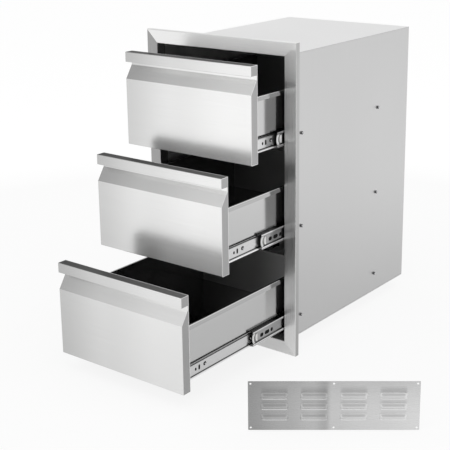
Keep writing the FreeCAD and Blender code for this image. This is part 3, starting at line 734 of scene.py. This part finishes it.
def makeVentPlate(setup):
    w, h, inset, patch, corner = (setup[k] for k in ("width", "height", "holeInset", "holePatch", "round"))
    x, z, second = ventLines(setup)
    reach = hoodReach(x, z, second, setup)
    flatX, flatZ = np.meshgrid(x, z)
    # the plate's corners: points past the quarter circle are drawn in to it
    toX = np.maximum(corner - np.minimum(flatX, w - flatX), 0)
    toZ = np.maximum(corner - np.minimum(flatZ, h - flatZ), 0)
    draw = np.where((toX > 0) & (toZ > 0), np.maximum(np.hypot(toX, toZ) / corner, 1), 1)
    flatX = flatX + np.sign(w / 2 - flatX) * toX * (1 - 1 / draw)
    flatZ = flatZ + np.sign(h / 2 - flatZ) * toZ * (1 - 1 / draw)
    points, faces = joinGrids([np.stack([flatX, -reach, flatZ], -1)] + holePatches(setup))
    rows, columns = len(z) - 1, len(x) - 1
    middleX, middleZ = (x[1:] + x[:-1]) / 2, (z[1:] + z[:-1]) / 2
    holes = np.zeros((rows, columns), bool)
    for holeX in (inset, w / 2, w - inset):
        for holeZ in (inset, h - inset):
            holes |= (np.abs(middleZ - holeZ) < patch)[:, None] & (np.abs(middleX - holeX) < patch)[None, :]
    slits = np.repeat((np.diff(z) < 1e-7)[:, None], columns, 1)
    keep = np.ones(len(faces), bool)
    keep[:rows * columns] = ~(holes | slits).ravel()
    plate = makePiece("louvred_vent_plate", ventPlace(points, setup), faces[keep], "ventSteel", "cabinet",
                      ["vent_panel"], outward=False)
    wall = plate.modifiers.new("wall", "SOLIDIFY")
    wall.thickness = setup["gauge"]
    wall.offset = -1.0
    settle(plate, 40.0)
    points, faces = joinGrids([ventPlace(louvreEdges(setup), setup)])
    makePiece("vent_louvre_edges", points, faces, "louvreEdgeSteel", "cabinet")


makeVentPlate(ventPlate)
print("vent plate made")


# Rail fasteners: pan-head screws from inside, chamfered nuts outside the housing

railFastener = {
    "wallX": 0.184,
    "headX": 0.1818,
    "screwY": (0.050, 0.384),
    "slideLift": 0.040,
    "frontLow": {"bottom": 0.00775, "centre": 0.22575, "top": 0.44375},
    "nutFlats": 0.0070,
    "nutHeight": 0.0032,
    "nutFace": 0.0033,  # radius of the flat ring on the nut's end
    "screw": 0.0020,
    "headRadius": 0.0036,
    "headHeight": 0.0015,
    "threadStart": 0.0054,
    "screwEnd": 0.0084,
    "threadPitch": 0.0007,
    "threadDepth": 0.00022,
    "turnSteps": 24,
}


def slideHeight(name):
    return railFastener["frontLow"][name] + railFastener["slideLift"]


def railScrewPlaces(x):
    return [(side, x, y, slideHeight(name))
            for name in drawers for side in sides for y in railFastener["screwY"]]


def nutForm(setup):
    # a hexagon whose corners are turned off by a cone at both ends, with a bore
    steps = setup["turnSteps"]
    angle = np.linspace(0, 2 * math.pi, steps + 1)
    sector = math.pi / 3
    flats = setup["nutFlats"] / 2 / np.cos((angle + sector / 2) % sector - sector / 2)
    drop = np.maximum(flats - setup["nutFace"], 0) * math.tan(math.radians(30))
    bore, height, face = np.full(steps + 1, setup["screw"] * 1.02), setup["nutHeight"], setup["nutFace"]
    level = np.zeros(steps + 1)
    rows = [(level, bore), (level, np.minimum(flats, face)), (drop, flats), (height - drop, flats),
            (level + height, np.minimum(flats, face)), (level + height, bore), (level, bore)]
    return np.stack([np.stack([along, radius * np.cos(angle), radius * np.sin(angle)], -1)
                     for along, radius in rows])


def threadProfile(start, end, radius, pitch, depth):
    # rings in and out by the thread's depth, then a blunt tip
    along = np.arange(start, end - pitch, pitch / 2)
    ridge = radius - depth * (np.arange(len(along)) % 2)
    return list(zip(along, ridge)) + [(end - pitch * 0.8, radius), (end, radius * 0.72), (end, 0)]


def headProfile(radius, height):
    # a pan head from its crown back to its seat
    return [(-height, 0), (-height, radius * 0.45), (-height * 0.9, radius * 0.72),
            (-height * 0.6, radius * 0.93), (-height * 0.25, radius), (0, radius)]


def makeRailFasteners(setup):
    screw = headProfile(setup["headRadius"], setup["headHeight"]) + [(0, setup["screw"])]
    screw += threadProfile(setup["threadStart"], setup["screwEnd"], setup["screw"],
                           setup["threadPitch"], setup["threadDepth"])
    form = turned(screw, setup["turnSteps"])
    points, faces = joinGrids([setAlongX(form, railScrewPlaces(setup["headX"]))])
    makePiece("rail_screws_threaded", points, faces, "fastenerSteel", "cabinet",
              ["rail_screws"])
    points, faces = joinGrids([setAlongX(nutForm(setup), railScrewPlaces(setup["wallX"]))])
    makePiece("rail_nuts_chamfered", points, faces, "shadedNutSteel", "cabinet", ["rail_nuts"])


makeRailFasteners(railFastener)
print("rail fasteners made")


# Softened copies of the moulded pieces

softened = {
    "noses": {"edge": 0.00035, "finish": "nosePlastic", "slot": "end_plastic"},
    "buffers": {"edge": 0.0006, "finish": "blackPlastic", "slot": "stop_plastic"},
}


def softenNode(node, name, body, setup):
    # the node's own shape, its flat faces joined again and its edges rounded
    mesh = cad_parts[node].data.copy()
    mesh.name = name
    mesh.materials.clear()
    mesh.materials.append(materials[setup["finish"]])
    work = bmesh.new()
    work.from_mesh(mesh)
    bmesh.ops.remove_doubles(work, verts=work.verts, dist=1e-6)
    bmesh.ops.dissolve_limit(work, angle_limit=math.radians(3), verts=work.verts, edges=work.edges)
    work.to_mesh(mesh)
    work.free()
    piece = bpy.data.objects.new(name, mesh)
    bpy.context.scene.collection.objects.link(piece)
    bevel = piece.modifiers.new("edge", "BEVEL")
    bevel.width = setup["edge"]
    bevel.segments = 2
    bevel.limit_method = "ANGLE"
    bevel.angle_limit = math.radians(30)
    settle(piece, 50.0)
    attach(piece, body)
    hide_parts(node)


for drawer in drawers:
    softenNode(drawer + "_rail_end_pieces", drawer + "_white_nose_pieces", drawer + "_middle_rails",
               softened["noses"])
softenNode("rail_rear_stops", "rail_buffers", "cabinet", softened["buffers"])


middleRailStart = {"bottom": -0.13125, "centre": -0.09775, "top": -0.03775}  # Y of each one's front end

noseRibs = {
    "webX": 0.1776,  # outer face of the middle rail's web
    "reach": 0.0023,
    "flare": 0.0013,  # how much further the ends stand out, over the rail's flanges
    "thick": 0.0026,
    "spread": 1.35,  # radians that each bow runs to either side
    "steps": 28,
    "bows": [{"place": 0.0006, "depth": 0.0125, "half": 0.0163, "flared": 1.0},
             {"place": 0.0120, "depth": 0.0060, "half": 0.0092, "flared": 0.0}],
}


def bowForm(setup, bow):
    # half an ellipse across the rail, y = depth x (1 - cosine) and z = half x sine, of squarish section
    turn = np.linspace(-setup["spread"], setup["spread"], setup["steps"] + 1)[:, None]
    angle = np.linspace(0, 2 * math.pi, 17)[None, :]
    taper = np.sqrt(np.clip(1 - np.abs(turn / setup["spread"]) ** 10, 0, 1))
    squareCos = np.sign(np.cos(angle)) * np.abs(np.cos(angle)) ** 0.5
    squareSin = np.sign(np.sin(angle)) * np.abs(np.sin(angle)) ** 0.5
    y, z = bow["depth"] * (1 - np.cos(turn)), bow["half"] * np.sin(turn)
    alongY, alongZ = bow["depth"] * np.sin(turn), bow["half"] * np.cos(turn)
    length = np.hypot(alongY, alongZ)
    off = setup["thick"] / 2 * taper * squareSin
    reach = setup["reach"] + setup["flare"] * bow["flared"] * np.sin(turn) ** 4
    x = reach / 2 * (1 + taper * squareCos)
    return np.stack([x, y + off * alongZ / length, z - off * alongY / length], -1)


def makeNoseRibs(drawer, setup):
    grids = []
    for bow in setup["bows"]:
        start = middleRailStart[drawer] + bow["place"]
        places = [(side, setup["webX"], start, slideHeight(drawer)) for side in sides]
        grids.append(setAlongX(bowForm(setup, bow), places))
    points, faces = joinGrids(grids)
    makePiece(drawer + "_white_nose_ribs", points, faces, "whitePlastic", drawer + "_middle_rails")


for drawer in drawers:
    makeNoseRibs(drawer, noseRibs)
print("end pieces and buffers rounded")


# Ball cages: pocketed strips with round balls

cage = {
    "wallX": 0.183,  # the housing's inner face, from which the rows are set in
    "length": 0.150,
    "gauge": 0.0008,
    "ball": 0.0015,
    "balls": 10,
    "pocket": 0.0016,
    "side": 0.0006,
    "lip": 0.0009,
    "rows": {"outer": {"inset": 0.0067, "rise": 0.0195, "open": 1, "home": 0.152, "ratio": 0.25},
             "inner": {"inset": 0.0099, "rise": 0.01585, "open": -1, "home": 0.157, "ratio": 0.75}},
    "openings": {"bottom": 0.3545, "centre": 0.2195, "top": 0.1145},
}


def ballForm(radius, rings=6, steps=10):
    # a sphere by latitude and longitude
    latitude = np.linspace(-math.pi / 2, math.pi / 2, rings + 1)[:, None]
    longitude = np.linspace(0, 2 * math.pi, steps + 1)[None, :]
    return radius * np.stack([np.sin(latitude) + 0 * longitude, np.cos(latitude) * np.cos(longitude),
                              np.cos(latitude) * np.sin(longitude)], -1)


def stripForm(setup, row):
    # the strip across its width and along its length, a bar beside each pocket and a comb between pockets
    pocket, half = setup["pocket"], setup["gauge"] / 2
    back, front = row["open"] * (pocket + setup["side"]), -row["open"] * setup["lip"]
    pitch = setup["length"] / setup["balls"]

    def slab(x0, x1, y0, y1):
        ring = np.array([(x0, -half), (x1, -half), (x1, half), (x0, half), (x0, -half)])
        ends = [np.stack([ring[:, 0] * s + (x0 + x1) / 2 * (1 - s), np.full(5, y), ring[:, 1] * s], 1)
                for y, s in ((y0, 0), (y0, 1), (y1, 1), (y1, 0))]
        return np.stack(ends)

    slabs = [slab(row["open"] * pocket, back, 0, setup["length"])]
    for i in range(setup["balls"] + 1):
        y0 = max((i - 0.5) * pitch + pocket, 0)
        y1 = min((i + 0.5) * pitch - pocket, setup["length"])
        slabs.append(slab(front, row["open"] * pocket, y0, y1))
    return slabs


def makeCages(drawer, rowName, setup):
    row = setup["rows"][rowName]
    start = row["home"] - row["ratio"] * setup["openings"][drawer]
    centres = start + setup["length"] * (np.arange(setup["balls"]) + 0.5) / setup["balls"]
    grids = []
    for side in sides:
        for up in (-1, 1):
            z = slideHeight(drawer) + up * row["rise"]
            x = setup["wallX"] - row["inset"]
            places = [(side, x, y, z) for y in centres]
            grids.append(setAlongX(ballForm(setup["ball"]), places))
            for slab in stripForm(setup, row):
                grids.append(np.stack([side * (x + slab[..., 0]), start + slab[..., 1],
                                       z + slab[..., 2]], -1))
    points, faces = joinGrids(grids)
    node = drawer + "_" + rowName + "_ball_cages"
    makePiece(drawer + "_" + rowName + "_cages_with_balls", points, faces, "cageSteel",
              drawer + "_" + rowName + "_cages", [node])


for drawer in drawers:
    for rowName in cage["rows"]:
        makeCages(drawer, rowName, cage)
print("ball cages made")


# Box screws: pan heads with a cross recess, through the inner rails, and near-black discs as painted shade in
# the rails' holes and windows

boxScrew = {
    "railX": 0.1713,  # outer face of the inner rail's web
    "fromFace": 0.025,  # from the front's face to the inner rail's start
    "railPlaces": (0.055, 0.215, 0.395),
    "faceY": {"bottom": -0.3685, "centre": -0.2335, "top": -0.1285},
    "radius": 0.0022,
    "height": 0.0013,
    "recess": 0.0008,
    "recessArm": 0.0016,
    "recessWide": 0.00045,
}

# near-black discs over the inner rails' holes: painted shade
railHoleShades = {
    "wallX": 0.1703,  # the box wall behind the holes
    "lift": 0.00112,  # just over the web's outer face
    "marks": [{"place": 0.0235, "rise": -0.0006, "half": (0.0027, 0.0034)},
              {"place": 0.035, "rise": 0.0, "half": (0.0029, 0.0058)}],
    "ring": {"shift": -0.0014, "rise": 0.0014, "half": (0.0050, 0.0044)},  # a painted shadow behind each screw's head
}

# a near-black sheet behind the middle rail's windows: painted shade
railWindowShades = {
    "webX": 0.1762,  # just inside the middle rail's web
    "lift": 0.0003,
    "half": (0.0260, 0.0055),
    "place": 0.060,
    "rise": -0.0015,
}


def crossHead(setup, rings=9, steps=32):
    # a dome by radius and angle, sunk inside the two crossed arms
    share = np.linspace(0, 1, rings)[:, None]
    angle = np.linspace(0, 2 * math.pi, steps + 1)[None, :]
    radius = setup["radius"] * share + 0 * angle
    dome = setup["height"] * (1 - share ** 4 * 0.75) + 0 * angle
    y, z = radius * np.cos(angle), radius * np.sin(angle)
    near, far = np.minimum(abs(y), abs(z)), np.maximum(abs(y), abs(z))
    sunk = (near < setup["recessWide"] * (1.15 - far / setup["recessArm"])) & (far < setup["recessArm"])
    head = np.stack([dome - setup["recess"] * sunk, y, z], -1)
    seat = np.stack([0 * head[-1, :, 0], head[-1, :, 1], head[-1, :, 2]], -1)
    return np.concatenate([head, seat[None], (seat * 0)[None]])


def makeBoxScrews(drawer, setup):
    start = setup["faceY"][drawer] + setup["fromFace"]
    places = [(side, setup["railX"], start + y, slideHeight(drawer))
              for side in sides for y in setup["railPlaces"]]
    points, faces = joinGrids([setAlongX(crossHead(setup), places)])
    makePiece(drawer + "_box_screws", points, faces, "fastenerSteel", drawer + "_drawer")


def shadeDiscForm(half, lift, steps=24):
    # a thin lens by share of its outline and angle: a circle drawn out along its longer side
    share = np.array([0, 0.6, 0.92, 1.0, 1.0])[:, None]
    rise = np.array([1.0, 1.0, 1.0, 0.9, 0.0])[:, None] * lift
    angle = np.linspace(0, 2 * math.pi, steps + 1)[None, :] + math.pi / steps
    radius = min(half)
    y = share * (radius * np.cos(angle) + (half[0] - radius) * np.sign(np.cos(angle)))
    z = share * (radius * np.sin(angle) + (half[1] - radius) * np.sign(np.sin(angle)))
    form = np.stack([rise + 0 * angle, y, z], -1)
    return np.concatenate([form, form[:1] * 0])


def makeRailShadeDiscs(drawer, holes, windows):
    start = boxScrew["faceY"][drawer] + boxScrew["fromFace"]
    height = slideHeight(drawer)
    grids = []
    for mark in holes["marks"]:
        places = [(side, holes["wallX"], start + mark["place"], height + mark["rise"]) for side in sides]
        grids.append(setAlongX(shadeDiscForm(mark["half"], holes["lift"]), places))
    ring = holes["ring"]
    places = [(side, holes["wallX"], start + y + ring["shift"], height + ring["rise"])
              for side in sides for y in boxScrew["railPlaces"]]
    grids.append(setAlongX(shadeDiscForm(ring["half"], holes["lift"]), places))
    points, faces = joinGrids(grids)
    makePiece(drawer + "_inner_rail_hole_shades", points, faces, "holeShadeBlack", drawer + "_drawer")
    start = middleRailStart[drawer] + windows["place"]
    places = [(side, windows["webX"], start, height + windows["rise"]) for side in sides]
    points, faces = joinGrids([setAlongX(shadeDiscForm(windows["half"], windows["lift"]), places)])
    makePiece(drawer + "_middle_rail_window_shades", points, faces, "holeShadeBlack", drawer + "_middle_rails")


for drawer in drawers:
    makeBoxScrews(drawer, boxScrew)
    makeRailShadeDiscs(drawer, railHoleShades, railWindowShades)
print("box screws and rail hole shades made")
